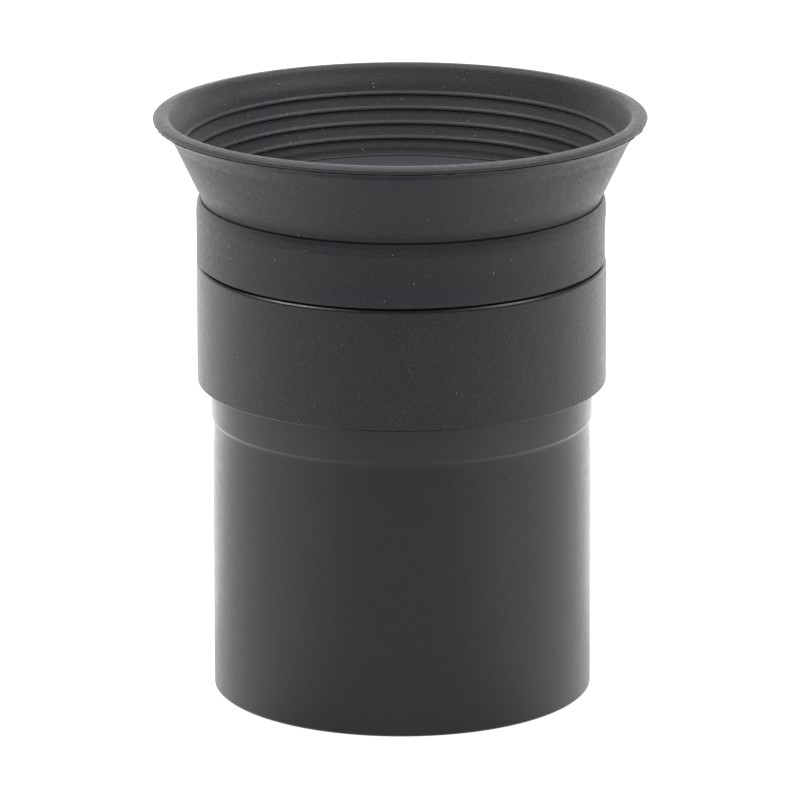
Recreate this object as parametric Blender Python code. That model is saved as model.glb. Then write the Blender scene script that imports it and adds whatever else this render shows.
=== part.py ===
"""Two-inch telescope eyepiece with a fold-down rubber eyecup, as an assembly of turned pieces.

The optical axis is +Z and the origin is the centre of the barrel's open lower end.
The eyecup turns on the housing and its flare folds down. The barrel screws out of the
housing, and the lens cell that it clamps comes down with it.
"""
import math

import bmesh
import bpy

MM = 0.001
SEGMENTS = 48                        # facets around every turned piece
LENS_ARC_STEPS = 3                   # facets from a lens's edge to its centre
GAP = 0.3 * MM                       # clearance between pieces that rest on each other
CEMENT_GAP = 0.15 * MM               # thickness of the cement in a doublet

# Barrel: a tube that slides into a 2 inch focuser, with a thin shoulder ring at its top
BARREL_RADIUS = 25.4 * MM
BARREL_BORE = 23.4 * MM
BARREL_CHAMFER = 0.3 * MM
RELIEF_RADIUS = 25.2 * MM            # the tube necks in slightly below the shoulder
RELIEF_START = 25.4 * MM
RELIEF_STEPS = 3
SHOULDER_RADIUS = 25.52 * MM
SHOULDER_LOW = 37.45 * MM
SHOULDER_CHAMFER = 0.12 * MM
FILTER_BORE = 23.75 * MM             # mean radius of the M48 x 0.75 filter thread
FILTER_DEPTH = 5.5 * MM
FILTER_MOUTH = 24.1 * MM

# Screw thread that joins the barrel's spigot to the housing
THREAD_PITCH = 1.0 * MM
THREAD_ROOT = 24.2 * MM
THREAD_DEPTH = 0.5 * MM
THREAD_GAP = 0.2 * MM                # radial clearance between the two threads
THREAD_LOW = 43.3 * MM
THREAD_TURNS = 4
THREAD_HIGH = THREAD_LOW + THREAD_TURNS * THREAD_PITCH
SPIGOT_TOP = THREAD_HIGH + THREAD_PITCH
THREAD_PROFILE = ((0.0, 0.0), (0.25, 1.0), (0.5, 1.0), (0.75, 0.0))   # (share of a pitch, rise)

# Housing: the textured ring, with a smooth land above it for the eyecup
HOUSING_RADIUS = 27.38 * MM
HOUSING_LOW = 42.71 * MM
HOUSING_HIGH = 58.95 * MM
HOUSING_LOW_CHAMFER = 0.12 * MM
HOUSING_HIGH_CHAMFER = 0.3 * MM
HOUSING_BORE = 23.0 * MM
MOUTH_CLEARANCE = 0.1 * MM           # the mouth is this much wider than the barrel's shoulder
LAND_RADIUS = 25.7 * MM
LAND_HIGH = 66.9 * MM
GROOVE_RADIUS = 25.1 * MM            # the eyecup's inner rib sits in this groove
GROOVE_LOW = 60.6 * MM
GROOVE_HIGH = 62.8 * MM

# Eyecup: a straight sleeve, a flared cone and a rolled-out rim
SLEEVE_LOW = HOUSING_HIGH + GAP
SLEEVE_LOW_CHAMFER = (0.1 * MM, 0.3 * MM)      # radial, along the axis
SLEEVE_SHOULDER = 1.2 * MM                     # height of the sleeve's rounded top corner
SLEEVE_SHOULDER_INSETS = (0.12 * MM, 0.45 * MM)
RIB_CHAMFER = 0.2 * MM
CREASE = 67.75 * MM                  # where the flare leaves the sleeve
CREASE_RADIUS = 26.55 * MM
FLARE_SLOPE = 0.478                  # radius gained per height
CUP_WALL = 0.95 * MM
RIM_LOW = 76.2 * MM
RIM_EDGE_RADIUS = 32.89 * MM
RIM_EDGE_HEIGHT = 78.28 * MM
RIM_TOP_RADIUS = 30.73 * MM
RIM_TOP = 78.98 * MM
RIM_CURL = (0.55 * MM, 0.75 * MM)    # the section's points as (radial, along the axis) offsets:
RIM_LIP = (-0.35 * MM, -0.45 * MM)   # from the root, from the edge below and above it,
RIM_BEVEL = (-0.25 * MM, 0.3 * MM)   # and from the top outside and inside
RIM_CREST = (0.15 * MM, 0.0)
RIM_INNER = (-0.1 * MM, -0.15 * MM)

# Lens cell and what it holds, listed from the eye end down
CELL_FLANGE_RADIUS = 24.1 * MM
FLANGE_LOW = SPIGOT_TOP + GAP         # the spigot's top clamps the cell's flange
CELL_FLANGE_HEIGHT = 1.3 * MM
CELL_UPPER_RADIUS = 22.7 * MM
CELL_LOWER_RADIUS = 22.9 * MM
CELL_BORE = 20.6 * MM
CELL_APERTURE = 17.2 * MM
CELL_TOP = 65.1 * MM
CELL_LIP = 1.1 * MM
LENS_RADIUS = CELL_BORE - GAP
SPACER_BORE = 19.4 * MM
FLINT_EDGE = 5.2 * MM
CROWN_EDGE = 1.6 * MM
CEMENTED_SAG = 4.0 * MM
EYE_CROWN_SAG = 2.3 * MM
MIDDLE_EDGE = 2.0 * MM
MIDDLE_UPPER_SAG = 3.0 * MM
MIDDLE_LOWER_SAG = 2.0 * MM
FIELD_CROWN_SAG = 2.6 * MM
UPPER_SPACER_HEIGHT = 6.2 * MM
LOWER_SPACER_HEIGHT = 5.2 * MM
CELL_RING_HEIGHT = 2.2 * MM

# Rings in the housing's top and in the barrel
BEZEL_RADIUS = 23.9 * MM
BEZEL_BORE = 18.2 * MM
BEZEL_LOW = LAND_HIGH - 1.2 * MM
BEZEL_DISH = 0.7 * MM
STOP_LOW = 27.4 * MM
STOP_HEIGHT = 2.0 * MM
STOP_APERTURE = 21.5 * MM
SLOT_WIDTH = 1.2 * MM
SLOT_DEPTH = 0.9 * MM
SLOT_OVERRUN = 1.0 * MM              # how far the slot's cutter reaches past the ring

SHARP_ANGLE = math.radians(30)


def clear_scene():
    for item in list(bpy.data.objects):
        bpy.data.objects.remove(item, do_unlink=True)


def make_material(name, colour, roughness, metallic=0.0, transmission=0.0):
    material = bpy.data.materials.new(name)
    material.use_nodes = True
    shader = material.node_tree.nodes["Principled BSDF"]
    shader.inputs["Base Color"].default_value = (*colour, 1.0)
    shader.inputs["Roughness"].default_value = roughness
    shader.inputs["Metallic"].default_value = metallic
    shader.inputs["Transmission Weight"].default_value = transmission
    return material


def thread_stations(root, crest, low, high, internal=False):
    """Stations of a right-hand thread, from low to high. Each is a function of the turn, 0 to 1.

    A station climbs one pitch in a turn, so the station after a full turn meets the
    start of the one a pitch above it. Outside low..high it stays at the end, at the root.
    The first and last stations are plain rings that the thread runs out into. An internal
    thread has its ridges where the external one has its valleys.
    """
    rows = [(root, low)]
    for pitch_index in range(-1, THREAD_TURNS):
        for fraction, ridge in THREAD_PROFILE:
            rise = 1.0 - ridge if internal else ridge
            rows.append(thread_station(pitch_index + fraction, rise, root, crest, low, high))
    rows.append((root, high))
    return rows


def thread_station(start, rise, root, crest, low, high):
    def station(turn):
        height = low + THREAD_PITCH * (start + turn)
        run_in = (height - low) / THREAD_PITCH
        run_out = (high - height) / THREAD_PITCH
        fade = max(0.0, min(1.0, 2.0 * run_in, 2.0 * run_out))
        return root + (crest - root) * rise * fade, max(low, min(high, height))
    return station


def turned(name, outline, material, parent):
    """Turn a closed outline about +Z. A station is (radius, height) or a function of the turn."""
    mesh = bpy.data.meshes.new(name)
    bm = bmesh.new()
    columns = []
    for index in range(SEGMENTS + 1):
        turn = index / SEGMENTS
        angle = 2.0 * math.pi * (turn % 1.0)
        column = []
        for station in outline:
            radius, height = station(turn) if callable(station) else station
            point = (radius * math.cos(angle), radius * math.sin(angle), height)
            column.append(bm.verts.new(point))
        columns.append(column)
    for here, beyond in zip(columns, columns[1:]):
        for row in range(len(outline)):
            above = (row + 1) % len(outline)
            bm.faces.new((here[row], beyond[row], beyond[above], here[above]))
    bmesh.ops.remove_doubles(bm, verts=bm.verts, dist=0.001 * MM)
    bmesh.ops.dissolve_degenerate(bm, edges=bm.edges, dist=0.001 * MM)
    bmesh.ops.triangulate(bm, faces=bm.faces)
    bmesh.ops.recalc_face_normals(bm, faces=bm.faces)
    bm.to_mesh(mesh)
    bm.free()
    mesh.materials.append(material)
    mesh.shade_smooth()
    mesh.set_sharp_from_angle(angle=SHARP_ANGLE)
    piece = bpy.data.objects.new(name, mesh)
    bpy.context.scene.collection.objects.link(piece)
    piece.parent = parent
    return piece


def ring_outline(bore, radius, low, high):
    return [(bore, low), (radius, low), (radius, high), (bore, high)]


def cap_points(radius, edge_height, sag):
    """Points of a spherical surface from the edge to the centre, both included."""
    if sag == 0.0:
        return [(radius, edge_height), (0.0, edge_height)]
    sphere = (radius * radius + sag * sag) / (2.0 * sag)
    points = []
    for step in range(LENS_ARC_STEPS + 1):
        reach = radius * (1.0 - step / LENS_ARC_STEPS)
        rise = math.copysign(math.sqrt(sphere * sphere - reach * reach), sphere) - (sphere - sag)
        points.append((reach, edge_height + rise))
    return points


def lens_outline(edge_low, edge_high, low_sag, high_sag):
    """A lens's section. A sag is how far the surface's centre stands above its edge."""
    lower = cap_points(LENS_RADIUS, edge_low, low_sag)
    lower.reverse()
    return lower + cap_points(LENS_RADIUS, edge_high, high_sag)


def add_box_cutter(name, centre, size, parent):
    mesh = bpy.data.meshes.new(name)
    bm = bmesh.new()
    bmesh.ops.create_cube(bm, size=1.0)
    bmesh.ops.scale(bm, verts=bm.verts, vec=size)
    bm.to_mesh(mesh)
    bm.free()
    cutter = bpy.data.objects.new(name, mesh)
    cutter.location = centre
    cutter.hide_render = True
    cutter.display_type = "WIRE"
    bpy.context.scene.collection.objects.link(cutter)
    cutter.parent = parent
    return cutter


def cut_spanner_slots(ring, low, radius, parent):
    """Cut one slot across the ring's wall, on both sides, in its lower face."""
    size = (2.0 * (radius + SLOT_OVERRUN), SLOT_WIDTH, 2.0 * SLOT_DEPTH)
    cutter = add_box_cutter(ring.name + "_slot_cutter", (0.0, 0.0, low), size, parent)
    boolean = ring.modifiers.new("spanner_slots", "BOOLEAN")
    boolean.operation = "DIFFERENCE"
    boolean.solver = "EXACT"
    boolean.object = cutter


def barrel_outline():
    spigot_low = HOUSING_LOW - GAP
    outline = [
        (FILTER_MOUTH, 0.0),
        (BARREL_RADIUS - BARREL_CHAMFER, 0.0),
        (BARREL_RADIUS, BARREL_CHAMFER),
    ]
    for step in range(RELIEF_STEPS + 1):
        share = step / RELIEF_STEPS
        height = RELIEF_START + share * (SHOULDER_LOW - RELIEF_START)
        outline.append((BARREL_RADIUS - share * share * (BARREL_RADIUS - RELIEF_RADIUS), height))
    outline += [
        (SHOULDER_RADIUS - SHOULDER_CHAMFER, SHOULDER_LOW),
        (SHOULDER_RADIUS, SHOULDER_LOW + SHOULDER_CHAMFER),
        (SHOULDER_RADIUS, spigot_low - SHOULDER_CHAMFER),
        (SHOULDER_RADIUS - SHOULDER_CHAMFER, spigot_low),
        (THREAD_ROOT, spigot_low),
    ]
    outline += thread_stations(THREAD_ROOT, THREAD_ROOT + THREAD_DEPTH, THREAD_LOW, THREAD_HIGH)
    outline += [
        (THREAD_ROOT, SPIGOT_TOP - GAP),
        (THREAD_ROOT - GAP, SPIGOT_TOP),
        (BARREL_BORE, SPIGOT_TOP),
        (BARREL_BORE, FILTER_DEPTH),
        (FILTER_BORE, FILTER_DEPTH),
        (FILTER_BORE, FILTER_MOUTH - FILTER_BORE),
    ]
    return outline


def housing_outline():
    narrow = THREAD_ROOT + THREAD_GAP
    wide = narrow + THREAD_DEPTH
    pocket_high = FLANGE_LOW + CELL_FLANGE_HEIGHT + GAP
    bezel_seat = BEZEL_RADIUS + GAP
    outline = [
        (SHOULDER_RADIUS + MOUTH_CLEARANCE, HOUSING_LOW),
        (HOUSING_RADIUS - HOUSING_LOW_CHAMFER, HOUSING_LOW),
        (HOUSING_RADIUS, HOUSING_LOW + HOUSING_LOW_CHAMFER),
        (HOUSING_RADIUS, HOUSING_HIGH - HOUSING_HIGH_CHAMFER),
        (HOUSING_RADIUS - HOUSING_HIGH_CHAMFER, HOUSING_HIGH),
        (LAND_RADIUS, HOUSING_HIGH),
        (LAND_RADIUS, GROOVE_LOW),
        (GROOVE_RADIUS, GROOVE_LOW),
        (GROOVE_RADIUS, GROOVE_HIGH),
        (LAND_RADIUS, GROOVE_HIGH),
        (LAND_RADIUS, LAND_HIGH - GAP),
        (LAND_RADIUS - GAP, LAND_HIGH),
        (bezel_seat, LAND_HIGH),
        (bezel_seat, BEZEL_LOW - GAP),
        (HOUSING_BORE, BEZEL_LOW - GAP),
        (HOUSING_BORE, pocket_high),
        (wide, pocket_high),
    ]
    thread = thread_stations(wide, narrow, THREAD_LOW, THREAD_HIGH, internal=True)
    thread.reverse()
    return outline + thread + [(wide, HOUSING_LOW + GAP)]


def bezel_outline():
    return [
        (BEZEL_BORE, BEZEL_LOW),
        (BEZEL_RADIUS, BEZEL_LOW),
        (BEZEL_RADIUS, LAND_HIGH),
        (BEZEL_RADIUS - GAP, LAND_HIGH),
        (BEZEL_BORE, LAND_HIGH - BEZEL_DISH),
    ]


def cell_outline(cell_low):
    shelf = CELL_TOP - CELL_LIP
    return [
        (CELL_BORE, cell_low),
        (CELL_LOWER_RADIUS, cell_low),
        (CELL_LOWER_RADIUS, FLANGE_LOW),
        (CELL_FLANGE_RADIUS, FLANGE_LOW),
        (CELL_FLANGE_RADIUS, FLANGE_LOW + CELL_FLANGE_HEIGHT),
        (CELL_UPPER_RADIUS, FLANGE_LOW + CELL_FLANGE_HEIGHT),
        (CELL_UPPER_RADIUS, CELL_TOP),
        (CELL_APERTURE + CELL_LIP, CELL_TOP),
        (CELL_APERTURE, shelf),
        (CELL_BORE, shelf),
    ]


def flare_radius(height):
    return CREASE_RADIUS + FLARE_SLOPE * (height - CREASE)


def sleeve_outline():
    inner = LAND_RADIUS + GAP
    rib_inner = GROOVE_RADIUS + GAP
    top = CREASE - GAP / 2.0
    chamfer_in, chamfer_up = SLEEVE_LOW_CHAMFER
    halfway_inset, top_inset = SLEEVE_SHOULDER_INSETS
    return [
        (inner, SLEEVE_LOW),
        (HOUSING_RADIUS - chamfer_in, SLEEVE_LOW),
        (HOUSING_RADIUS, SLEEVE_LOW + chamfer_up),
        (HOUSING_RADIUS, top - SLEEVE_SHOULDER),
        (HOUSING_RADIUS - halfway_inset, top - 0.5 * SLEEVE_SHOULDER),
        (HOUSING_RADIUS - top_inset, top),
        (inner, top),
        (inner, GROOVE_HIGH - GAP),
        (rib_inner, GROOVE_HIGH - GAP - RIB_CHAMFER),
        (rib_inner, GROOVE_LOW + GAP + RIB_CHAMFER),
        (inner, GROOVE_LOW + GAP),
    ]


def cone_outline():
    low = CREASE + GAP / 2.0
    high = RIM_LOW - GAP
    return [
        (flare_radius(low) - CUP_WALL, low),
        (flare_radius(low), low),
        (flare_radius(high), high),
        (flare_radius(high) - CUP_WALL, high),
    ]


def offset(point, shift):
    return point[0] + shift[0], point[1] + shift[1]


def rim_outline():
    root = (flare_radius(RIM_LOW), RIM_LOW)
    edge = (RIM_EDGE_RADIUS, RIM_EDGE_HEIGHT)
    top = (RIM_TOP_RADIUS, RIM_TOP)
    return [
        offset(root, (-CUP_WALL, 0.0)),
        root,
        offset(root, RIM_CURL),
        offset(edge, RIM_LIP),
        edge,
        offset(edge, RIM_BEVEL),
        offset(top, RIM_CREST),
        offset(top, RIM_INNER),
    ]


def build_optics(materials, cell_parent):
    """Stack the lenses and spacers under the cell's lip, and return the stack's lower end."""
    level = CELL_TOP - CELL_LIP - GAP

    flint_low = level - FLINT_EDGE
    outline = lens_outline(flint_low, level, CEMENTED_SAG, 0.0)
    turned("eye_flint", outline, materials["flint_glass"], cell_parent)

    crown_high = flint_low - CEMENT_GAP
    crown_low = crown_high - CROWN_EDGE
    outline = lens_outline(crown_low, crown_high, -EYE_CROWN_SAG, CEMENTED_SAG)
    turned("eye_crown", outline, materials["crown_glass"], cell_parent)

    spacer_high = crown_low - GAP
    spacer_low = spacer_high - UPPER_SPACER_HEIGHT
    outline = ring_outline(SPACER_BORE, LENS_RADIUS, spacer_low, spacer_high)
    turned("upper_spacer", outline, materials["blackened_metal"], cell_parent)

    middle_high = spacer_low - GAP
    middle_low = middle_high - MIDDLE_EDGE
    outline = lens_outline(middle_low, middle_high, -MIDDLE_LOWER_SAG, MIDDLE_UPPER_SAG)
    turned("middle_lens", outline, materials["crown_glass"], cell_parent)

    spacer_high = middle_low - GAP
    spacer_low = spacer_high - LOWER_SPACER_HEIGHT
    outline = ring_outline(SPACER_BORE, LENS_RADIUS, spacer_low, spacer_high)
    turned("lower_spacer", outline, materials["blackened_metal"], cell_parent)

    crown_high = spacer_low - GAP
    crown_low = crown_high - CROWN_EDGE
    outline = lens_outline(crown_low, crown_high, -CEMENTED_SAG, FIELD_CROWN_SAG)
    turned("field_crown", outline, materials["crown_glass"], cell_parent)

    flint_high = crown_low - CEMENT_GAP
    flint_low = flint_high - FLINT_EDGE
    outline = lens_outline(flint_low, flint_high, 0.0, -CEMENTED_SAG)
    turned("field_flint", outline, materials["flint_glass"], cell_parent)

    ring_high = flint_low - GAP
    ring_low = ring_high - CELL_RING_HEIGHT
    outline = ring_outline(SPACER_BORE - GAP, LENS_RADIUS, ring_low, ring_high)
    ring = turned("cell_ring", outline, materials["blackened_metal"], cell_parent)
    cut_spanner_slots(ring, ring_low, LENS_RADIUS, cell_parent)
    return ring_low


def make_empty(name, parent=None):
    empty = bpy.data.objects.new(name, None)
    bpy.context.scene.collection.objects.link(empty)
    empty.parent = parent
    return empty


def make_materials():
    return {
        "rubber": make_material("rubber", (0.048, 0.048, 0.052), 0.75),
        "textured_paint": make_material("textured_paint", (0.03, 0.03, 0.029), 0.5, 0.2),
        "black_anodise": make_material("black_anodise", (0.03, 0.027, 0.03), 0.32, 0.7),
        "blackened_metal": make_material("blackened_metal", (0.02, 0.02, 0.02), 0.6, 0.5),
        "crown_glass": make_material("crown_glass", (0.9, 0.95, 0.9), 0.02, 0.0, 1.0),
        "flint_glass": make_material("flint_glass", (0.9, 0.9, 0.95), 0.02, 0.0, 1.0),
    }


def build_eyepiece():
    materials = make_materials()
    assembly = make_empty("eyepiece")
    cup_axis = make_empty("eyecup_axis", assembly)
    cell_axis = make_empty("cell_axis", assembly)
    barrel_axis = make_empty("barrel_axis", cell_axis)

    turned("housing", housing_outline(), materials["textured_paint"], assembly)
    turned("eye_bezel", bezel_outline(), materials["blackened_metal"], assembly)

    turned("eyecup_sleeve", sleeve_outline(), materials["rubber"], cup_axis)
    turned("eyecup_cone", cone_outline(), materials["rubber"], cup_axis)
    turned("eyecup_rim", rim_outline(), materials["rubber"], cup_axis)

    stack_low = build_optics(materials, cell_axis)
    turned("lens_cell", cell_outline(stack_low - GAP), materials["blackened_metal"], cell_axis)

    turned("barrel", barrel_outline(), materials["black_anodise"], barrel_axis)
    stop_radius = BARREL_BORE - GAP
    outline = ring_outline(STOP_APERTURE, stop_radius, STOP_LOW, STOP_LOW + STOP_HEIGHT)
    stop = turned("field_stop", outline, materials["blackened_metal"], barrel_axis)
    cut_spanner_slots(stop, STOP_LOW, stop_radius, barrel_axis)


clear_scene()
build_eyepiece()
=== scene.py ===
"""Looks of the two-inch telescope eyepiece: finely turned pieces, materials, light and camera.

Lengths inside this script are in millimetres and are scaled once, when a mesh is made.
"""
import math

import bmesh
import bpy
import numpy as np
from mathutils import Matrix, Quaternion, Vector


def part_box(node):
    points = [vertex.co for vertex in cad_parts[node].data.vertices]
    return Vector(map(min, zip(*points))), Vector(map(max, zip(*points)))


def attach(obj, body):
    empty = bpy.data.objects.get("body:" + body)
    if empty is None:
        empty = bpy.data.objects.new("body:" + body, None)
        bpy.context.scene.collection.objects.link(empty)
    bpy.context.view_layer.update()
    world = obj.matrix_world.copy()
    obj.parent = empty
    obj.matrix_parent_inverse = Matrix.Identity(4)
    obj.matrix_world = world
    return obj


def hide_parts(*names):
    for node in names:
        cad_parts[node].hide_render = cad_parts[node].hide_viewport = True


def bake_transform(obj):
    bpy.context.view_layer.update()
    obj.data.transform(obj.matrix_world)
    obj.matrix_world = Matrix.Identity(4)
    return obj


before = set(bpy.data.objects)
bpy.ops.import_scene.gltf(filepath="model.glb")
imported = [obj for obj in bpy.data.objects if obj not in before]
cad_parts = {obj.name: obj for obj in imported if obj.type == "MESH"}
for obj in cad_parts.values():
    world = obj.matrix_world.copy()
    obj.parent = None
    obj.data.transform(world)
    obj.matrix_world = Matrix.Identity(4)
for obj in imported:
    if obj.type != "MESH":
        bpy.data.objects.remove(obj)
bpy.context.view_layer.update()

MM = 0.001
SEGMENTS = 256                       # columns around a large turned piece,
SMALL_SEGMENTS = 192                 # a small one,
EYECUP_SEGMENTS = 288                # the rubber cup
FLASH_SEGMENTS = 768                 # and the ragged fin under its lip
LONGEST_SIDE = 0.6                   # the cup's section has no side longer than this
SHARP_ANGLE = math.radians(38)
MERGE_DISTANCE = 0.0005              # points nearer than this are one


def extent(node):
    """Outer radius, low end and high end of a CAD node, in millimetres."""
    low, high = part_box(node)
    return high.x / MM, low.z / MM, high.z / MM


# Sizes read from the CAD frame
LIP_RADIUS, RIM_LOW, LIP_TOP = extent("eyecup_rim")
BAND_RADIUS, _, CREASE = extent("eyecup_sleeve")
HOUSING_RADIUS, HOUSING_LOW, LAND_TOP = extent("housing")
SHOULDER_RADIUS, BARREL_LOW, SPIGOT_TOP = extent("barrel")
CELL_FLANGE_RADIUS, CELL_LOW, CELL_TOP = extent("lens_cell")
BEZEL_RADIUS, BEZEL_LOW, BEZEL_TOP = extent("eye_bezel")
LENS_RADIUS = extent("middle_lens")[0]

# Eyecup
CREASE_RADIUS = 26.55                # the flare starts this wide
CREASE_FOOT = 26.62                  # and is undercut to this at the crease
FLARE_SLOPE = 0.478                  # radius gained per height
CUP_WALL = 0.95
LAND_RADIUS = 25.7
GROOVE_RADIUS = 25.1
GROOVE_LOW = 60.6
GROOVE_HIGH = 62.8
RIB_COUNT = 4
RIB_PITCH = 1.86
TOP_RIB = 74.55                      # height of the step from the highest rib to its groove
RIB_HEIGHT = 0.13
RIB_GROOVE = 0.06
LIP_ROOT = 75.7                      # the flare turns out into the lip from here
LIP_EDGE = 78.05                     # height of the lip's sharp lower edge
LIP_EDGE_INSET = 0.25                # and how far in from the widest point it lies
LIP_DROP = 0.15                      # the soft lip sits this much lower than a true ring,
LIP_SHIFT = 0.2                      # this much to the left,
LIP_LEAN = 0.4                       # leans, with its front this much higher and its back lower,
LIP_TWIST = 0.05                     # and is bent by this much, like a saddle
LIP_SWELLS = ((3, 0.04, 0.0), (7, 0.02, 1.3))   # and its width swells: (count, amount, phase)
FLASH_RAGGEDNESS = ((31, 0.5, 0.2), (47, 0.4, 1.1), (83, 0.35, 2.2), (19, 0.4, 0.7))
BAND_PULL = 0.20                     # how far the band's right side sits inside the housing
BAND_LIFT = 0.14                     # how far its lower edge stands off to either side of the front

# Housing and barrel
HOUSING_TOP = 58.95                  # where the textured ring ends and the land begins
HOUSING_BORE = 23.0
HOUSING_SKIRT = 0.20                 # the ring reaches this much lower than its CAD solid
MOUTH_CLEARANCE = 0.08               # the ring's mouth is this much wider than the barrel's shoulder
BEZEL_BORE = 18.2
BEZEL_DISH = 0.7
BARREL_RADIUS = 25.4
BARREL_BORE = 23.4
RELIEF_RADIUS = 25.2
RELIEF_START = 25.4
SHOULDER_LOW = 37.45
SHOULDER_HIGH = 42.41
THREAD_PITCH = 1.0
THREAD_ROOT = 24.2
THREAD_DEPTH = 0.5
THREAD_GAP = 0.2
THREAD_LOW = 43.3
THREAD_TURNS = 4
FILTER_PITCH = 0.75
FILTER_ROOT = 24.0
FILTER_DEPTH = 0.4
FILTER_TURNS = 7
FILTER_LOW = 0.35
GAP = 0.3                            # clearance between pieces that rest on each other

# Lens cell and lenses
CELL_FLANGE_HEIGHT = 1.3
CELL_UPPER_RADIUS = 22.7
CELL_LOWER_RADIUS = 22.9
CELL_APERTURE = 17.2
CELL_LIP = 1.1
SPACER_WALL = 0.9
CEMENT_GAP = 0.15                    # thickness of the cement in a doublet
FLINT_EDGE = 5.2
CROWN_EDGE = 1.6
MIDDLE_EDGE = 2.0
CEMENTED_SAG = 4.0                   # how far a doublet's cemented faces bulge
EYE_CROWN_SAG = 2.3
MIDDLE_UPPER_SAG = 3.0
MIDDLE_LOWER_SAG = 2.0
FIELD_CROWN_SAG = 2.6


# ---------------------------------------------------------------- turned shapes

def rounded(corners, steps=4):
    """A closed outline from (radius, height[, fillet]) corners, with each fillet as an arc."""
    outline = []
    count = len(corners)
    for index, corner in enumerate(corners):
        if callable(corner):
            outline.append(corner)
            continue
        fillet = corner[2] if len(corner) > 2 else 0.0
        before = corners[index - 1]
        after = corners[(index + 1) % count]
        if fillet == 0.0 or callable(before) or callable(after):
            outline.append((corner[0], corner[1]))
            continue
        outline += fillet_points(before, corner, after, fillet, steps)
    return outline


def fillet_points(before, corner, after, fillet, steps):
    tip = np.array(corner[:2], float)
    into = np.array(before[:2], float) - tip
    out = np.array(after[:2], float) - tip
    reach_in, reach_out = np.linalg.norm(into), np.linalg.norm(out)
    into, out = into / reach_in, out / reach_out
    half = 0.5 * math.acos(max(-1.0, min(1.0, float(into @ out))))
    reach = min(fillet / math.tan(half), 0.48 * reach_in, 0.48 * reach_out)
    start, end = tip + into * reach, tip + out * reach
    points = []
    for step in range(steps + 1):
        share = step / steps
        point = (1 - share) ** 2 * start + 2 * share * (1 - share) * tip + share ** 2 * end
        points.append((float(point[0]), float(point[1])))
    return points


def refined(outline, longest):
    """The same outline with no plain side longer than the given length."""
    fine = []
    for index, here in enumerate(outline):
        fine.append(here)
        beyond = outline[(index + 1) % len(outline)]
        if callable(here) or callable(beyond):
            continue
        length = math.dist(here, beyond)
        parts = max(1, math.ceil(length / longest))
        for part in range(1, parts):
            share = part / parts
            radius = here[0] + share * (beyond[0] - here[0])
            height = here[1] + share * (beyond[1] - here[1])
            fine.append((radius, height))
    return fine


def thread_rows(root, crest, low, pitch, turns, internal=False):
    """Stations of a right-hand thread. Each is a function of the turn, 0 to 1."""
    profile = ((0.0, 0.0), (0.2, 0.85), (0.27, 1.0), (0.43, 1.0), (0.5, 0.85), (0.7, 0.0))
    high = low + turns * pitch
    rows = [(root, low)]
    for index in range(-1, turns):
        for fraction, ridge in profile:
            rise = 1.0 - ridge if internal else ridge
            rows.append(thread_row(index + fraction, rise, root, crest, low, high, pitch))
    rows.append((root, high))
    return rows


def thread_row(start, rise, root, crest, low, high, pitch):
    def station(turn):
        height = low + pitch * (start + turn)
        fade = np.clip(np.minimum(height - low, high - height) * 2.0 / pitch, 0.0, 1.0)
        return root + (crest - root) * rise * fade, np.clip(height, low, high)
    return station


def turned(name, outline, body, material, segments=SEGMENTS, shape=None, replaces=()):
    """Turn a closed outline about +Z, let shape(radius, height, angle) bend it, and ride on a body."""
    turns = np.linspace(0.0, 1.0, segments + 1)
    radii = np.empty((len(outline), segments + 1))
    heights = np.empty_like(radii)
    for row, station in enumerate(outline):
        radius, height = station(turns) if callable(station) else station
        radii[row] = radius
        heights[row] = height
    angles = 2.0 * math.pi * np.append(turns[:-1], 0.0)
    if shape is not None:
        radii, heights = shape(radii, heights, np.broadcast_to(angles, radii.shape))
    points = np.stack([radii * np.cos(angles), radii * np.sin(angles), heights], axis=-1) * MM
    piece = grid_object(name, points)
    close_mesh(piece.data)
    piece.data.materials.append(material)
    if body is not None:
        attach(piece, body)
    if replaces:
        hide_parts(*replaces)
    return piece


def grid_object(name, points):
    """A mesh object from rows of points, each row joined to the next and the last to the first."""
    rows, columns = points.shape[:2]
    index = np.arange(rows * columns).reshape(rows, columns)
    below = np.roll(index, -1, axis=0)
    quads = np.stack([index[:, :-1], index[:, 1:], below[:, 1:], below[:, :-1]], axis=-1)
    mesh = bpy.data.meshes.new(name)
    mesh.from_pydata(points.reshape(-1, 3).tolist(), [], quads.reshape(-1, 4).tolist())
    piece = bpy.data.objects.new(name, mesh)
    bpy.context.scene.collection.objects.link(piece)
    return piece


def close_mesh(mesh):
    """Join the seam and the points on the axis, turn the faces out and shade smooth."""
    bm = bmesh.new()
    bm.from_mesh(mesh)
    bmesh.ops.remove_doubles(bm, verts=bm.verts, dist=MERGE_DISTANCE * MM)
    bmesh.ops.dissolve_degenerate(bm, edges=bm.edges, dist=MERGE_DISTANCE * MM)
    bmesh.ops.recalc_face_normals(bm, faces=bm.faces)
    bm.to_mesh(mesh)
    bm.free()
    mesh.shade_smooth()
    mesh.set_sharp_from_angle(angle=SHARP_ANGLE)


# ---------------------------------------------------------------- material nodes

LINT = (0.45, 0.45, 0.44, 1.0)
SATIN_GREY = (0.020, 0.018, 0.020, 1.0)


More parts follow.
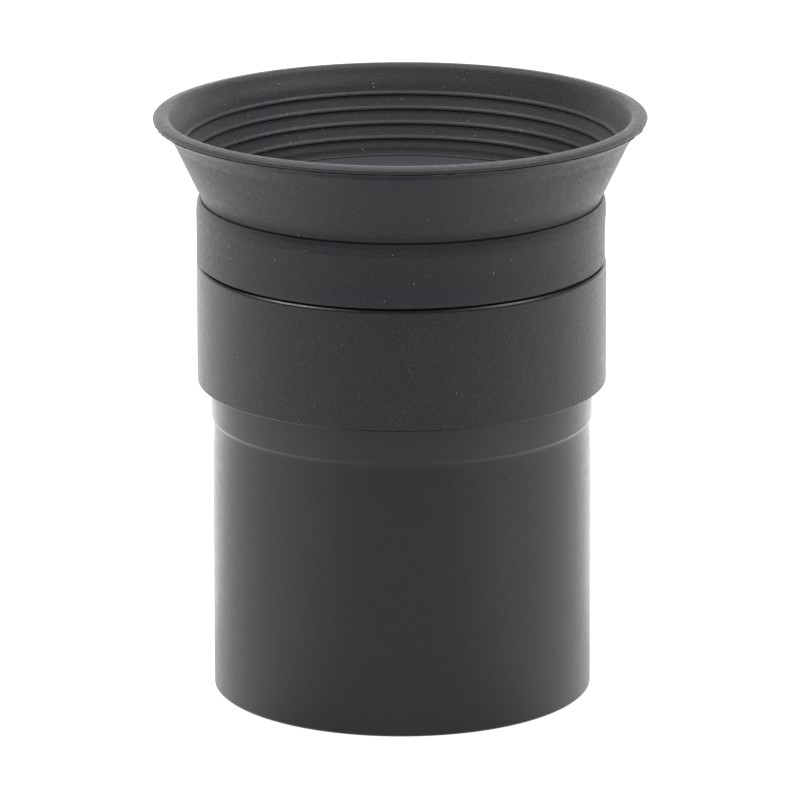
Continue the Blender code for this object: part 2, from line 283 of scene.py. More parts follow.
class Paint:
    """A material under construction: one Principled shader and helpers for the nodes before it."""

    def __init__(self, name, **inputs):
        self.material = bpy.data.materials.new(name)
        self.material.use_nodes = True
        self.tree = self.material.node_tree
        self.shader = self.tree.nodes["Principled BSDF"]
        self.place = self.node("ShaderNodeTexCoord").outputs["Object"]
        for key, value in inputs.items():
            self.shader.inputs[key.replace("_", " ")].default_value = value

    def node(self, kind, **settings):
        made = self.tree.nodes.new(kind)
        for key, value in settings.items():
            setattr(made, key, value)
        return made

    def feed(self, source, socket):
        if isinstance(source, (int, float, tuple)):
            socket.default_value = source
        else:
            self.tree.links.new(source, socket)

    def noise(self, scale, detail=2.0, roughness=0.5):
        made = self.node("ShaderNodeTexNoise")
        made.inputs["Scale"].default_value = scale
        made.inputs["Detail"].default_value = detail
        made.inputs["Roughness"].default_value = roughness
        self.feed(self.place, made.inputs["Vector"])
        return made.outputs["Fac"]

    def cells(self, scale, place=None):
        made = self.node("ShaderNodeTexVoronoi")
        made.inputs["Scale"].default_value = scale
        self.feed(place or self.place, made.inputs["Vector"])
        return made

    def stretched(self, x, y, z, turn=0.0):
        made = self.node("ShaderNodeMapping")
        made.inputs["Scale"].default_value = (x, y, z)
        made.inputs["Rotation"].default_value = (0.0, turn, 0.0)
        self.feed(self.place, made.inputs["Vector"])
        return made.outputs["Vector"]

    def axis(self, name):
        made = self.node("ShaderNodeSeparateXYZ")
        self.feed(self.place, made.inputs["Vector"])
        return made.outputs[name]

    def span(self, value, low, high, to_low=0.0, to_high=1.0):
        made = self.node("ShaderNodeMapRange")
        for socket, number in zip(made.inputs[1:5], (low, high, to_low, to_high)):
            socket.default_value = number
        self.feed(value, made.inputs["Value"])
        return made.outputs["Result"]

    def math(self, operation, a, b=0.0):
        made = self.node("ShaderNodeMath", operation=operation)
        self.feed(a, made.inputs[0])
        self.feed(b, made.inputs[1])
        return made.outputs["Value"]

    def blend(self, share, a, b):
        made = self.node("ShaderNodeMix", data_type="RGBA")
        self.feed(share, made.inputs["Factor"])
        self.feed(a, made.inputs["A"])
        self.feed(b, made.inputs["B"])
        return made.outputs["Result"]

    def specks(self, scale, size, keep, place=None):
        """Sparse dots: 1 inside a dot. keep is the share of cells that have one."""
        cell = self.cells(scale, place)
        inside = self.math("LESS_THAN", cell.outputs["Distance"], size)
        channel = self.node("ShaderNodeSeparateColor")
        self.feed(cell.outputs["Color"], channel.inputs["Color"])
        chosen = self.math("LESS_THAN", channel.outputs["Red"], keep)
        return self.math("MULTIPLY", inside, chosen)

    def fibres(self, tone):
        """Two sets of short pale lint fibres lying on the surface, leaning different ways."""
        for turn in (0.5, -0.9):
            lint = self.specks(420.0, 0.022, 0.7, self.stretched(1.0, 1.0, 0.18, turn))
            tone = self.blend(self.math("MULTIPLY", lint, 0.6), tone, LINT)
        return tone

    def bump(self, height, strength, distance):
        made = self.node("ShaderNodeBump")
        made.inputs["Strength"].default_value = strength
        made.inputs["Distance"].default_value = distance
        self.feed(height, made.inputs["Height"])
        self.feed(made.outputs["Normal"], self.shader.inputs["Normal"])

    def colour(self, source):
        self.feed(source, self.shader.inputs["Base Color"])

    def roughness(self, source):
        self.feed(source, self.shader.inputs["Roughness"])


def rubber_material():
    paint = Paint("moulded_rubber", Specular_IOR_Level=0.5)
    blotch = paint.span(paint.noise(90.0, 3.0), 0.3, 0.7)
    grey = paint.blend(blotch, (0.0074, 0.0060, 0.0128, 1.0), (0.0086, 0.0076, 0.0128, 1.0))
    grain = paint.noise(4200.0, 3.0, 0.65)
    grey = paint.blend(paint.span(grain, 0.54, 0.72, 0.0, 0.40), grey, (0.070, 0.070, 0.076, 1.0))
    dust = paint.specks(700.0, 0.045, 0.5)
    fine_dust = paint.specks(1100.0, 0.050, 0.55)
    grey = paint.blend(paint.math("MULTIPLY", fine_dust, 0.5), grey, (0.25, 0.25, 0.25, 1.0))
    grey = paint.blend(paint.math("MULTIPLY", dust, 0.8), grey, (0.50, 0.50, 0.49, 1.0))
    paint.colour(paint.fibres(grey))
    paint.roughness(paint.span(paint.noise(1500.0, 2.0), 0.3, 0.7, 0.42, 0.53))
    paint.bump(grain, 0.8, 0.00007)
    return paint.material


def flash_dust_and_sheen_material():
    """The rubber fin left by the mould: dusty, with pale grains caught on it. Its pale patches are
    partly painted highlight, standing for the light the fin catches.
    """
    paint = Paint("rubber_flash_dust_and_sheen", Specular_IOR_Level=0.5)
    # pale patches: part dust, part painted highlight of the lit fin
    patch = paint.span(paint.noise(160.0, 3.0), 0.35, 0.65)
    tone = paint.blend(patch, (0.045, 0.045, 0.048, 1.0), (0.340, 0.340, 0.340, 1.0))
    grains = paint.specks(2200.0, 0.22, 0.30)
    paint.colour(paint.blend(paint.math("MULTIPLY", grains, patch), tone, LINT))
    paint.roughness(paint.span(patch, 0.0, 1.0, 0.5, 0.8))
    return paint.material


def textured_paint_material():
    paint = Paint("textured_paint", Specular_IOR_Level=0.5, Specular_Tint=(1.0, 0.97, 0.97, 1.0))
    grain = paint.noise(3600.0, 4.0, 0.7)
    patch = paint.noise(240.0, 2.0)
    dark = paint.blend(patch, (0.0062, 0.0050, 0.0054, 1.0), (0.0087, 0.0070, 0.0070, 1.0))
    tone = paint.blend(paint.span(grain, 0.54, 0.68, 0.0, 0.9), dark, (0.048, 0.045, 0.043, 1.0))
    dust = paint.specks(500.0, 0.035, 0.4)
    tone = paint.blend(paint.math("MULTIPLY", dust, 0.6), tone, (0.40, 0.40, 0.39, 1.0))
    paint.colour(paint.fibres(tone))
    paint.roughness(paint.span(grain, 0.3, 0.7, 0.26, 0.42))
    paint.bump(grain, 1.0, 0.00018)
    return paint.material


def anodise_material():
    """Satin black, painted a little greyer from the shoulder above the relief up: painted light that
    brightens the shoulder.
    """
    paint = Paint("black_anodise", Specular_IOR_Level=0.5, Specular_Tint=(1.0, 0.94, 0.98, 1.0))
    cloud = paint.span(paint.noise(45.0, 4.0, 0.6), 0.35, 0.65)
    tone = paint.blend(cloud, (0.0072, 0.0044, 0.0052, 1.0), (0.0055, 0.0042, 0.0080, 1.0))
    # painted light: a lighter colour from the shoulder up stands in for light the shoulder gets
    painted_shoulder_light = paint.span(paint.axis("Z"), (SHOULDER_LOW - 0.1) * MM, (SHOULDER_LOW + 0.1) * MM)
    tone = paint.blend(paint.math("MULTIPLY", painted_shoulder_light, 0.5), tone, SATIN_GREY)
    mottle = paint.span(paint.noise(1100.0, 3.0, 0.7), 0.4, 0.7, 0.0, 0.25)
    tone = paint.blend(mottle, tone, SATIN_GREY)
    dust = paint.specks(230.0, 0.018, 0.35)
    tone = paint.blend(paint.math("MULTIPLY", dust, 0.5), tone, (0.35, 0.35, 0.35, 1.0))
    paint.colour(tone)
    satin = paint.noise(700.0, 4.0, 0.65)
    paint.roughness(paint.span(satin, 0.3, 0.7, 0.27, 0.34))
    paint.bump(paint.noise(2400.0, 3.0, 0.6), 0.25, 0.00003)
    return paint.material


def blackened_material():
    paint = Paint("blackened_metal", Specular_IOR_Level=0.4)
    grain = paint.noise(3000.0, 3.0)
    paint.colour(paint.blend(grain, (0.016, 0.016, 0.017, 1.0), (0.028, 0.028, 0.030, 1.0)))
    paint.roughness(paint.span(grain, 0.3, 0.7, 0.45, 0.6))
    paint.bump(grain, 0.2, 0.00003)
    return paint.material


def bezel_material():
    paint = Paint("bezel_anodise", Specular_IOR_Level=0.5)
    grain = paint.noise(3400.0, 3.0)
    paint.colour(paint.blend(grain, (0.033, 0.032, 0.039, 1.0), (0.040, 0.039, 0.047, 1.0)))
    paint.roughness(paint.span(grain, 0.3, 0.7, 0.38, 0.5))
    paint.bump(grain, 0.15, 0.00003)
    return paint.material


def worn_edge_and_glint_material():
    """A machined edge where the black has rubbed through to bare metal in places. That wear is also
    painted highlight: it is kept to bands left and right of the front, weaker on the right, where the
    softboxes glint, and the specular level is lowered in front and at the far sides as painted shade.
    """
    paint = Paint("worn_edge_and_glint")
    # painted highlight: the side mask keeps the bare metal's glint to bands 5 to 22 mm either side of
    # the axis, and weaker on the right
    aside = paint.math("ABSOLUTE", paint.axis("X"))
    side = paint.math("MULTIPLY", paint.span(aside, 0.005, 0.011), paint.span(aside, 0.022, 0.017))
    side = paint.math("MULTIPLY", side, paint.span(paint.axis("X"), -0.005, 0.010, 1.0, 0.4))
    wear_and_glint = paint.math("MULTIPLY", side, paint.span(paint.noise(3200.0, 4.0, 0.7), 0.40, 0.62))
    paint.colour(paint.blend(wear_and_glint, (0.012, 0.011, 0.011, 1.0), (0.11, 0.10, 0.10, 1.0)))
    paint.feed(paint.span(wear_and_glint, 0.0, 1.0, 0.0, 0.8), paint.shader.inputs["Metallic"])
    # painted shade: the specular level is lowered in front and at the far sides
    paint.feed(paint.span(side, 0.0, 1.0, 0.12, 0.5), paint.shader.inputs["Specular IOR Level"])
    paint.roughness(0.30)
    return paint.material


def glass_material(name, tint, film):
    """Clear glass with a faintly coloured coating."""
    paint = Paint(name, Roughness=0.0, IOR=1.52, Transmission_Weight=1.0)
    smear = paint.noise(60.0, 2.0)
    paint.colour(paint.blend(smear, (*tint, 1.0), (0.985, 0.99, 0.985, 1.0)))
    paint.shader.inputs["Specular Tint"].default_value = (*film, 1.0)
    paint.roughness(paint.span(smear, 0.3, 0.8, 0.0, 0.02))
    return paint.material


# ---------------------------------------------------------------- eyecup

def flare_radius(height):
    return CREASE_RADIUS + FLARE_SLOPE * (height - CREASE)


def eyecup_outline():
    """Section of the one rubber moulding: band, crease, flare, lip, then the ribbed inside."""
    seat = LAND_RADIUS + 0.12
    bottom = HOUSING_TOP + 0.1
    corners = [
        (seat, bottom, 0.1),
        (BAND_RADIUS - 0.02, bottom, 0.20),
        (BAND_RADIUS - 0.04, bottom + 2.6, 1.0),
        (BAND_RADIUS - 0.01, CREASE - 1.60, 2.0),
        (BAND_RADIUS - 0.15, CREASE - 0.42, 0.7),
        (CREASE_FOOT + 0.30, CREASE + 0.03, 0.05),
        (CREASE_FOOT, CREASE + 0.05, 0.02),
        (CREASE_FOOT, CREASE + 0.11, 0.02),
        (CREASE_FOOT + 0.06, CREASE + 0.16, 0.03),
        (CREASE_FOOT + 0.18, CREASE + 0.62, 0.6),
        (flare_radius(CREASE + 1.7), CREASE + 1.7, 1.2),
        (flare_radius(LIP_ROOT), LIP_ROOT, 1.6),
        (LIP_RADIUS - 1.34, LIP_EDGE - 0.80, 0.8),
        (LIP_RADIUS - 0.46, LIP_EDGE - 0.17, 0.05),
        (LIP_RADIUS - LIP_EDGE_INSET, LIP_EDGE, 0.03),
        (LIP_RADIUS - 0.36, LIP_EDGE + 0.07, 0.01),
        (LIP_RADIUS - 0.36, LIP_EDGE + 0.12, 0.01),
        (LIP_RADIUS - 0.12, LIP_EDGE + 0.19, 0.05),
        (LIP_RADIUS + 0.03, LIP_EDGE + 0.51, 0.16),
        (LIP_RADIUS - 0.33, LIP_EDGE + 0.84, 0.38),
        (LIP_RADIUS - 1.92, LIP_TOP + 0.16, 1.10),
    ]
    for index in range(RIB_COUNT):
        corners += rib_corners(TOP_RIB - index * RIB_PITCH)
    corners += [
        (25.62, LAND_TOP + 0.62, 0.15),
        (25.42, LAND_TOP + 0.24, 0.12),
        (25.24, LAND_TOP + 0.03, 0.05),
        (seat, LAND_TOP + 0.03),
        (seat, GROOVE_HIGH - GAP),
        (GROOVE_RADIUS + GAP, GROOVE_HIGH - GAP - 0.2),
        (GROOVE_RADIUS + GAP, GROOVE_LOW + GAP + 0.2),
        (seat, GROOVE_LOW + GAP),
    ]
    return refined(rounded(corners), LONGEST_SIDE)


def rib_corners(level):
    """One rib of the inside: the wall thickens to a soft ridge with a shallow groove under it."""
    def inner(height, offset):
        return flare_radius(height) - CUP_WALL + offset
    return [
        (inner(level + 0.55, 0.0), level + 0.55, 0.3),
        (inner(level + 0.32, -RIB_HEIGHT), level + 0.32, 0.12),
        (inner(level + 0.12, -RIB_HEIGHT), level + 0.12, 0.06),
        (inner(level - 0.08, 0.5 * RIB_GROOVE), level - 0.08, 0.06),
        (inner(level - 0.40, RIB_GROOVE), level - 0.40, 0.25),
        (inner(level - 1.00, 0.4 * RIB_GROOVE), level - 1.00, 0.30),
    ]


def waves(angles, terms):
    """A smooth periodic wobble: the sum of amount * cos(count * angle - phase)."""
    total = np.zeros_like(angles)
    for count, amount, phase in terms:
        total = total + amount * np.cos(count * angles - phase)
    return total


def lip_lift(front):
    """Height of the soft lip above a true ring, by the angle from the front."""
    return LIP_LEAN * np.cos(front) - LIP_TWIST * np.sin(2.0 * front) - LIP_DROP


def eyecup_shape(radii, heights, angles):
    """Slight unevenness of soft rubber: the lip leans, and the band stands off in places."""
    front = angles + math.pi / 2.0
    lip = np.clip((heights - 76.0) / 2.2, 0.0, 1.0)
    band = np.clip((CREASE - heights) / 4.0, 0.0, 1.0) * (radii > LAND_RADIUS + 0.4)
    low_edge = np.clip((61.0 - heights) / 2.0, 0.0, 1.0) * (radii > LAND_RADIUS + 0.4)
    lift = BAND_LIFT * np.exp(-((np.cos(front) - 0.45) / 0.30) ** 2)
    heights = heights + lip * lip_lift(front) + low_edge * lift
    radii = radii + lip * (waves(angles, LIP_SWELLS) - LIP_SHIFT * np.cos(angles))
    radii = radii - band * BAND_PULL * 0.5 * (1.0 + np.cos(angles))
    return radii, heights


def flash_ring(material):
    """The thin uneven fin of rubber that the mould leaves along the lip's lower edge."""
    radius = LIP_RADIUS - LIP_EDGE_INSET
    outline = [
        (radius - 0.10, LIP_EDGE - 0.05),
        (radius - 0.02, LIP_EDGE),
        (radius - 0.10, LIP_EDGE + 0.05),
    ]

    def shape(radii, heights, angles):
        wave = eyecup_shape(radii, heights, angles)
        ragged = waves(angles, FLASH_RAGGEDNESS)
        stick_out = np.clip(0.35 + ragged, 0.0, 1.0) * (0.05 + 0.12 * np.cos(angles) ** 2)
        tip = radii > radius - 0.05
        return wave[0] + tip * stick_out, wave[1]
    return turned("eyecup_flash", outline, None, material, FLASH_SEGMENTS, shape)


def build_eyecup(materials):
    eyecup = turned(
        "eyecup", eyecup_outline(), None, materials["rubber"], EYECUP_SEGMENTS, eyecup_shape
    )
    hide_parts("eyecup_sleeve", "eyecup_cone", "eyecup_rim")
    flash = flash_ring(materials["flash"])
    for piece in (eyecup, flash):
        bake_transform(piece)


# ---------------------------------------------------------------- housing and barrel

def housing_outline():
    narrow = THREAD_ROOT + THREAD_GAP
    wide = narrow + THREAD_DEPTH
    seat = BEZEL_RADIUS + 0.1
    pocket = SPIGOT_TOP + GAP + CELL_FLANGE_HEIGHT + GAP
    bottom = HOUSING_LOW - HOUSING_SKIRT
    mouth = SHOULDER_RADIUS + MOUTH_CLEARANCE
    corners = [
        (mouth, bottom, 0.04),
        (HOUSING_RADIUS - 0.15, bottom, 0.04),
        (HOUSING_RADIUS, bottom + 0.15, 0.05),
        (HOUSING_RADIUS, HOUSING_TOP - 0.54, 0.06),
        (HOUSING_RADIUS - 0.06, HOUSING_TOP - 0.35, 0.05),
        (HOUSING_RADIUS - 0.27, HOUSING_TOP - 0.13, 0.06),
        (HOUSING_RADIUS - 0.60, HOUSING_TOP - 0.10, 0.05),
        (HOUSING_RADIUS - 0.70, HOUSING_TOP, 0.03),
        (LAND_RADIUS, HOUSING_TOP),
        (LAND_RADIUS, GROOVE_LOW),
        (GROOVE_RADIUS, GROOVE_LOW),
        (GROOVE_RADIUS, GROOVE_HIGH),
        (LAND_RADIUS, GROOVE_HIGH),
        (LAND_RADIUS, LAND_TOP, 0.2),
        (seat, LAND_TOP, 0.08),
        (seat, BEZEL_LOW - 0.1),
        (HOUSING_BORE, BEZEL_LOW - 0.1),
        (HOUSING_BORE, pocket),
        (wide, pocket),
    ]
    thread = thread_rows(wide, narrow, THREAD_LOW, THREAD_PITCH, THREAD_TURNS, internal=True)
    thread.reverse()
    return rounded(corners + thread + [(wide, HOUSING_LOW + GAP), (mouth, HOUSING_LOW + GAP)])


def barrel_outline():
    corners = [
        (FILTER_ROOT + 0.1, BARREL_LOW, 0.05),
        (BARREL_RADIUS - 0.30, BARREL_LOW, 0.05),
        (BARREL_RADIUS, BARREL_LOW + 0.28, 0.12),
    ]
    relief_steps = 8
    relief_high = SHOULDER_LOW - 0.7
    for step in range(relief_steps + 1):
        share = step / relief_steps
        height = RELIEF_START + share * (relief_high - RELIEF_START)
        corners.append((BARREL_RADIUS - share * share * (BARREL_RADIUS - RELIEF_RADIUS), height))
    corners += [
        (RELIEF_RADIUS + 0.01, SHOULDER_LOW - 0.22, 0.8),
        (SHOULDER_RADIUS, SHOULDER_LOW + 0.24, 0.35),
        (SHOULDER_RADIUS, SHOULDER_HIGH - 0.34, 0.05),
        (SHOULDER_RADIUS - 0.12, SHOULDER_HIGH, 0.04),
        (THREAD_ROOT, SHOULDER_HIGH),
    ]
    crest = THREAD_ROOT + THREAD_DEPTH
    corners += thread_rows(THREAD_ROOT, crest, THREAD_LOW, THREAD_PITCH, THREAD_TURNS)
    corners += [
        (THREAD_ROOT, SPIGOT_TOP - GAP),
        (THREAD_ROOT - GAP, SPIGOT_TOP),
        (BARREL_BORE, SPIGOT_TOP),
        (BARREL_BORE, FILTER_LOW + FILTER_TURNS * FILTER_PITCH + 0.4),
        (FILTER_ROOT, FILTER_LOW + FILTER_TURNS * FILTER_PITCH + 0.3),
    ]
    thread = thread_rows(
        FILTER_ROOT, FILTER_ROOT - FILTER_DEPTH, FILTER_LOW, FILTER_PITCH, FILTER_TURNS, internal=True
    )
    thread.reverse()
    return rounded(corners + thread)


def paint_faces(piece, material, chosen):
    """Give the faces that chosen(radius, height) picks, in millimetres, another material."""
    piece.data.materials.append(material)
    slot = len(piece.data.materials) - 1
    for face in piece.data.polygons:
        centre = face.center / MM
        if chosen(math.hypot(centre.x, centre.y), centre.z):
            face.material_index = slot


def build_housing(materials):
    housing = turned(
        "housing_shell", housing_outline(), "housing_body", materials["textured_paint"],
        replaces=("housing",),
    )

    def bare(radius, height):
        land = height > HOUSING_TOP - 0.01
        inside = radius < HOUSING_RADIUS - 2.0
        return land or inside
    paint_faces(housing, materials["anodise"], bare)

    def land_top(radius, height):
        return height > LAND_TOP - 0.1
    paint_faces(housing, materials["bezel"], land_top)

    # the top and low edges take the bare edge material with its painted glint
    def wear_and_glint(radius, height):
        top_edge = HOUSING_TOP - 0.36 < height < HOUSING_TOP and radius > HOUSING_RADIUS - 0.45
        low_edge = height < HOUSING_LOW - 0.04 and radius > HOUSING_RADIUS - 0.18
        return top_edge or low_edge

    def below_edge(radius, height):
        return HOUSING_TOP - 0.52 < height < HOUSING_TOP - 0.36 and radius > HOUSING_RADIUS - 0.45
    paint_faces(housing, materials["anodise"], below_edge)
    paint_faces(housing, materials["worn_edge_and_glint"], wear_and_glint)

    bezel = turned(
        "eye_bezel_ring", bezel_outline(), "housing_body", materials["bezel"], replaces=("eye_bezel",)
    )


def bezel_outline():
    return rounded([
        (BEZEL_BORE, BEZEL_LOW, 0.05),
        (BEZEL_RADIUS, BEZEL_LOW, 0.05),
        (BEZEL_RADIUS, BEZEL_TOP, 0.10),
        (BEZEL_RADIUS - 0.6, BEZEL_TOP, 0.10),
        (BEZEL_BORE, BEZEL_TOP - BEZEL_DISH, 0.12),
    ])


def build_barrel(materials):
    barrel = turned(
        "barrel_tube", barrel_outline(), "barrel_body", materials["anodise"], replaces=("barrel",)
    )

    def inside(radius, height):
        return radius < BARREL_BORE + 0.1 and height < SPIGOT_TOP - 0.1
    paint_faces(barrel, materials["blackened"], inside)


# ---------------------------------------------------------------- lens cell

def cap_rows(radius, edge_height, sag, steps=16):
    """Points of a spherical surface from its edge to its centre."""
    if sag == 0.0:
        return [(radius, edge_height), (0.0, edge_height)]
    sphere = (radius * radius + sag * sag) / (2.0 * sag)
    points = []
    for step in range(steps + 1):
        reach = radius * (1.0 - step / steps)
        rise = math.copysign(math.sqrt(sphere * sphere - reach * reach), sphere) - (sphere - sag)
        points.append((reach, edge_height + rise))
    return points


def lens(node, low_sag, high_sag, edge_low, edge_high, material):
    """A lens whose sags say how far each surface's centre stands above its edge."""
    lower = cap_rows(LENS_RADIUS, edge_low, low_sag)
    lower.reverse()
    outline = lower + cap_rows(LENS_RADIUS, edge_high, high_sag)
    piece = turned(
        node + "_glass", outline, "cell_body", material, SMALL_SEGMENTS, replaces=(node,)
    )


def build_cell(materials):
    cell = turned(
        "lens_cell_tube", cell_outline(), "cell_body", materials["blackened"], replaces=("lens_cell",)
    )
    build_lenses(materials)
    for node in ("upper_spacer", "lower_spacer"):
        radius, low, high = extent(node)
        bore = radius - SPACER_WALL
        corners = [(bore, low, 0.1), (radius, low, 0.1), (radius, high, 0.1), (bore, high, 0.1)]
        ring = turned(
            node + "_ring", rounded(corners), "cell_body", materials["blackened"], SMALL_SEGMENTS,
            replaces=(node,),
        )


def cell_outline():
    flange_low = SPIGOT_TOP + GAP
    flange_high = flange_low + CELL_FLANGE_HEIGHT
    bore = LENS_RADIUS + GAP
    shelf = CELL_TOP - CELL_LIP
    return rounded([
        (bore, CELL_LOW, 0.15),
        (CELL_LOWER_RADIUS, CELL_LOW, 0.3),
        (CELL_LOWER_RADIUS, flange_low),
        (CELL_FLANGE_RADIUS, flange_low, 0.1),
        (CELL_FLANGE_RADIUS, flange_high, 0.1),
        (CELL_UPPER_RADIUS, flange_high),
        (CELL_UPPER_RADIUS, CELL_TOP, 0.2),
        (CELL_APERTURE + CELL_LIP, CELL_TOP, 0.1),
        (CELL_APERTURE, shelf, 0.05),
        (bore, shelf),
    ])


def build_lenses(materials):
    """The eye doublet, the middle lens and the field doublet, from the eye end down."""
    clear, coated = materials["glass"], materials["coated"]

    flint_high = extent("eye_flint")[2]
    flint_low = flint_high - FLINT_EDGE
    lens("eye_flint", CEMENTED_SAG, 0.0, flint_low, flint_high, coated)
    crown_high = flint_low - CEMENT_GAP
    lens("eye_crown", -EYE_CROWN_SAG, CEMENTED_SAG, crown_high - CROWN_EDGE, crown_high, clear)

    middle_high = extent("upper_spacer")[1] - GAP
    middle_low = middle_high - MIDDLE_EDGE
    lens("middle_lens", -MIDDLE_LOWER_SAG, MIDDLE_UPPER_SAG, middle_low, middle_high, clear)

    crown_high = extent("lower_spacer")[1] - GAP
    crown_low = crown_high - CROWN_EDGE
    lens("field_crown", -CEMENTED_SAG, FIELD_CROWN_SAG, crown_low, crown_high, clear)
    flint_low = extent("field_flint")[1]
    lens("field_flint", 0.0, -CEMENTED_SAG, flint_low, flint_low + FLINT_EDGE, coated)


def finish_cad_rings(materials):
    """The two slotted rings keep their CAD shape."""
    for node in ("cell_ring", "field_stop"):
        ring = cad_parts[node]
        ring.data.materials.clear()
        ring.data.materials.append(materials["blackened"])


# ---------------------------------------------------------------- studio

CAMERA_DISTANCE = 1.0429             # metres, as all lengths in this section are
CAMERA_ELEVATION = math.radians(15.46)
CAMERA_ROLL = math.radians(-0.10)
CAMERA_TARGET = Vector((0.0, 0.0, 0.0393))
CAMERA_LENS = 349.7                  # focal length in millimetres, on a 36 mm sensor
CAMERA_SHIFT = -0.0023
SOFTBOX_PLACE = (0.55, 0.05, 0.88)   # of the right one, and the left one mirrors it
SOFTBOX_TARGET = (0.0, 0.0, 0.05)
SOFTBOX_SIZE = 0.36
SOFTBOX_POWER = 2.4
FLOOR_HALF_WIDTH = 3.0
FLOOR_DROP = 0.00002                 # the floor lies this much below the barrel's end
FLOOR_GLOW_FRONT = 0.47              # what the floor throws on the object, in front of it
# two rises towards the back: from one cosine of the angle from the front to another, and how much
FLOOR_GLOW_RISES = ((0.99, 0.48, 0.45), (-0.38, -0.94, 0.86))
FLOOR_SEEN = 0.90                    # how bright the floor looks to the camera
WORLD_FRONT = 0.15                   # brightness of the studio's dim front and sides,
WORLD_TOP = 1.48                     # its ceiling,
WORLD_BACK = 2.40                    # the low wall behind the eyepiece
WORLD_OVERHEAD = 0.80                # and the brighter spot right above


def floor_material():
    """A pale light table. It looks white, and what it throws on the object grows to the back."""
    paint = Paint("pale_floor", Roughness=0.9)
    paint.colour((0.30, 0.30, 0.30, 1.0))
    direction = paint.node("ShaderNodeVectorMath", operation="NORMALIZE")
    paint.feed(paint.place, direction.inputs[0])
    axes = paint.node("ShaderNodeSeparateXYZ")
    paint.feed(direction.outputs["Vector"], axes.inputs["Vector"])
    front = paint.math("MULTIPLY", axes.outputs["Y"], -1.0)
    glow = FLOOR_GLOW_FRONT
    for start, end, rise in FLOOR_GLOW_RISES:
        step = paint.span(front, start, end, 0.0, rise)
        step.node.interpolation_type = "SMOOTHSTEP"
        glow = paint.math("ADD", glow, step)
    seen = paint.node("ShaderNodeLightPath").outputs["Is Camera Ray"]
    strength = paint.node("ShaderNodeMix")
    paint.feed(seen, strength.inputs[0])
    paint.feed(glow, strength.inputs[2])
    paint.feed(FLOOR_SEEN, strength.inputs[3])
    paint.shader.inputs["Emission Color"].default_value = (1.0, 1.0, 1.0, 1.0)
    paint.feed(strength.outputs[0], paint.shader.inputs["Emission Strength"])
    return paint.material


def build_floor():
    mesh = bpy.data.meshes.new("floor")
    bm = bmesh.new()
    bmesh.ops.create_grid(bm, x_segments=1, y_segments=1, size=FLOOR_HALF_WIDTH)
    bm.to_mesh(mesh)
    bm.free()
    floor = bpy.data.objects.new("floor", mesh)
    floor.location.z = -FLOOR_DROP
    bpy.context.scene.collection.objects.link(floor)
    mesh.materials.append(floor_material())


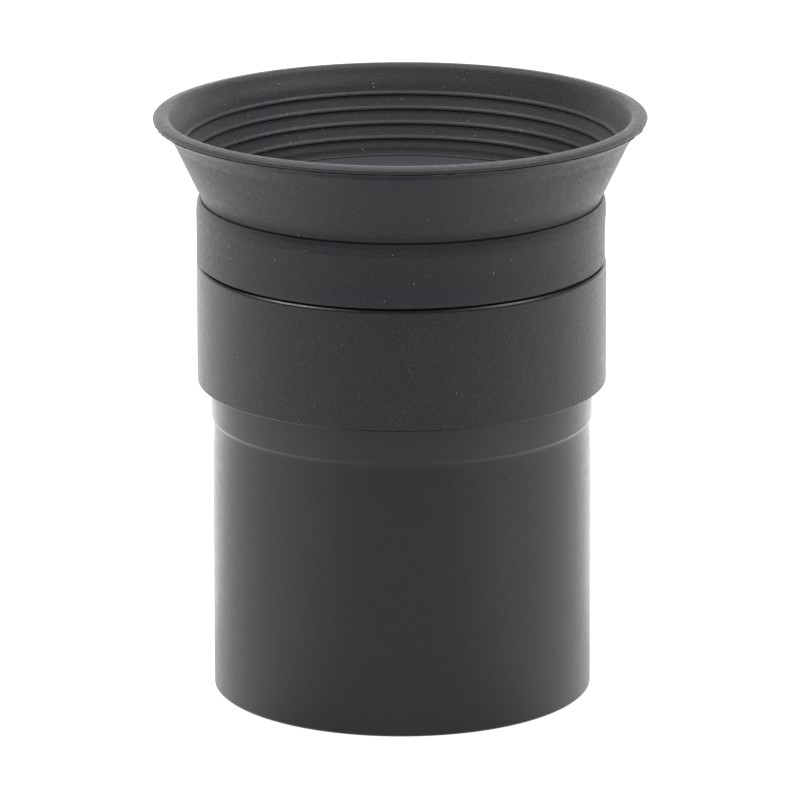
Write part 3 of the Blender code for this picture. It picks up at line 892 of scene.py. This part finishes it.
def build_world():
    """A white studio: a glowing back wall, a softer ceiling and a dim front."""
    world = bpy.data.worlds.new("studio")
    bpy.context.scene.world = world
    world.use_nodes = True
    tree = world.node_tree
    background = tree.nodes["Background"]
    background.inputs["Color"].default_value = (1.0, 1.0, 1.0, 1.0)
    place = tree.nodes.new("ShaderNodeTexCoord")
    axes = tree.nodes.new("ShaderNodeSeparateXYZ")
    tree.links.new(place.outputs["Generated"], axes.inputs["Vector"])

    def ramp(value, low, high, to_low, to_high):
        made = tree.nodes.new("ShaderNodeMapRange")
        made.interpolation_type = "SMOOTHSTEP"
        for socket, number in zip(made.inputs[1:5], (low, high, to_low, to_high)):
            socket.default_value = number
        tree.links.new(value, made.inputs["Value"])
        return made.outputs["Result"]

    def combine(operation, a, b):
        made = tree.nodes.new("ShaderNodeMath")
        made.operation = operation
        tree.links.new(a, made.inputs[0])
        tree.links.new(b, made.inputs[1])
        return made.outputs["Value"]

    ceiling = ramp(axes.outputs["Z"], 0.35, 0.85, WORLD_FRONT, WORLD_TOP)
    wall = ramp(axes.outputs["Y"], -0.2, 0.9, 0.0, WORLD_BACK)
    wall_low = ramp(axes.outputs["Z"], 0.2, 0.6, 1.0, 0.0)
    overhead = ramp(axes.outputs["Z"], 0.86, 0.98, 0.0, WORLD_OVERHEAD)
    total = combine("ADD", ceiling, combine("MULTIPLY", wall, wall_low))
    total = combine("ADD", total, overhead)
    seen = tree.nodes.new("ShaderNodeLightPath").outputs["Is Camera Ray"]
    total = combine("MAXIMUM", total, seen)
    tree.links.new(total, background.inputs["Strength"])


def add_area_light(name, place, target, size, power):
    data = bpy.data.lights.new(name, "AREA")
    data.shape = "DISK"
    data.size = size
    data.energy = power
    light = bpy.data.objects.new(name, data)
    light.location = place
    light.rotation_euler = (Vector(target) - Vector(place)).to_track_quat("-Z", "Y").to_euler()
    bpy.context.scene.collection.objects.link(light)


def build_camera():
    """A long lens a metre away, looking slightly down on the eyepiece."""
    data = bpy.data.cameras.new("camera")
    data.lens = CAMERA_LENS
    data.sensor_width = 36.0
    data.shift_x = CAMERA_SHIFT
    data.clip_end = 20.0
    camera = bpy.data.objects.new("camera", data)
    offset = Vector((0.0, -math.cos(CAMERA_ELEVATION), math.sin(CAMERA_ELEVATION)))
    offset *= CAMERA_DISTANCE
    camera.location = CAMERA_TARGET + offset
    roll = Quaternion((0.0, 0.0, 1.0), CAMERA_ROLL)
    camera.rotation_euler = ((-offset).to_track_quat("-Z", "Y") @ roll).to_euler()
    bpy.context.scene.collection.objects.link(camera)
    bpy.context.scene.camera = camera


def build_softboxes():
    across, depth, height = SOFTBOX_PLACE
    for side, name in ((-1.0, "left_softbox"), (1.0, "right_softbox")):
        place = (side * across, depth, height)
        add_area_light(name, place, SOFTBOX_TARGET, SOFTBOX_SIZE, SOFTBOX_POWER)


def build_studio():
    build_floor()
    build_world()
    build_softboxes()
    build_camera()
    bpy.context.scene.view_settings.view_transform = "Standard"


def make_materials():
    return {
        "rubber": rubber_material(),
        "textured_paint": textured_paint_material(),
        "anodise": anodise_material(),
        "blackened": blackened_material(),
        "flash": flash_dust_and_sheen_material(),
        "bezel": bezel_material(),
        "worn_edge_and_glint": worn_edge_and_glint_material(),
        "coated": glass_material("coated_glass", (0.93, 0.97, 0.94), (0.55, 1.0, 0.65)),
        "glass": glass_material("clear_glass", (0.96, 0.98, 0.97), (0.9, 0.7, 1.0)),
    }


materials = make_materials()
build_eyecup(materials)
build_housing(materials)
build_barrel(materials)
build_cell(materials)
finish_cad_rings(materials)
build_studio()
